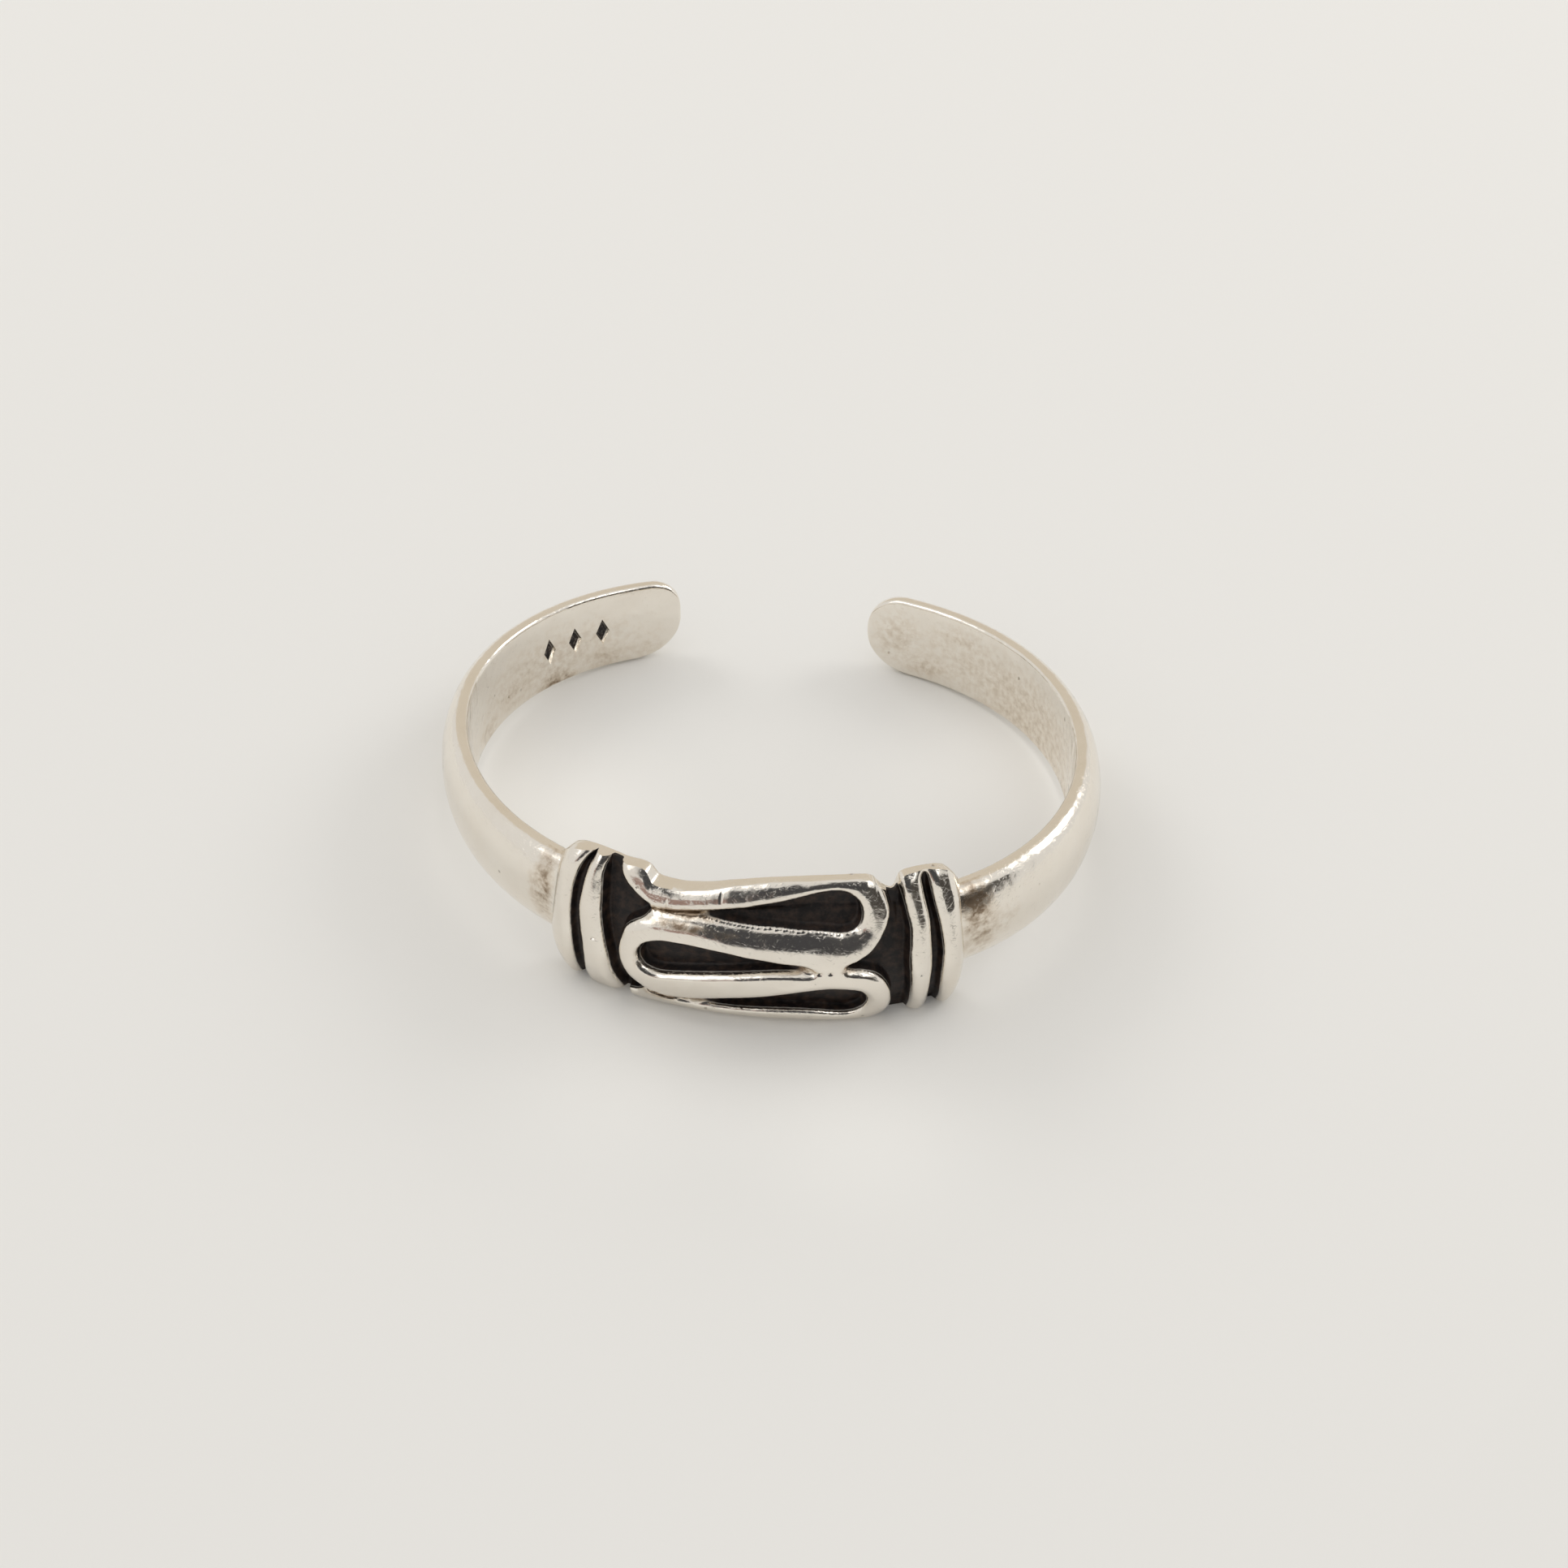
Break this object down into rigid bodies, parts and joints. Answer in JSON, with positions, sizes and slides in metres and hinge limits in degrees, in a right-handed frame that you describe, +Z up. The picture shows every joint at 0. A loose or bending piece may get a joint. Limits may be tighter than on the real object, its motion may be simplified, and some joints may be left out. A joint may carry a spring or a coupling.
{
  "type": "toe ring",
  "caption": "Open half-round band that springs on to a toe, widened at the front into a panel with end ribs and a raised strip winding over a darkened floor.",
  "frame": {"origin": "centre of the resting ring's bounding box, on the surface it lies on", "axes": "+X to the right as the panel is looked at from the front, +Y from the panel to the opening between the two tips, +Z up off the surface; the toe hollow's own axis leans about 4.7 degrees back from +Z, because the panel is deeper than the band and its outer ribs lift the front"},
  "size_m": [0.0186, 0.0166, 0.0046],
  "materials": {
    "silver": "worn polish, with blackened recesses on the panel"
  },
  "bodies": {
    "root": {"toe_ring": "silver"}
  },
  "joints": []
}
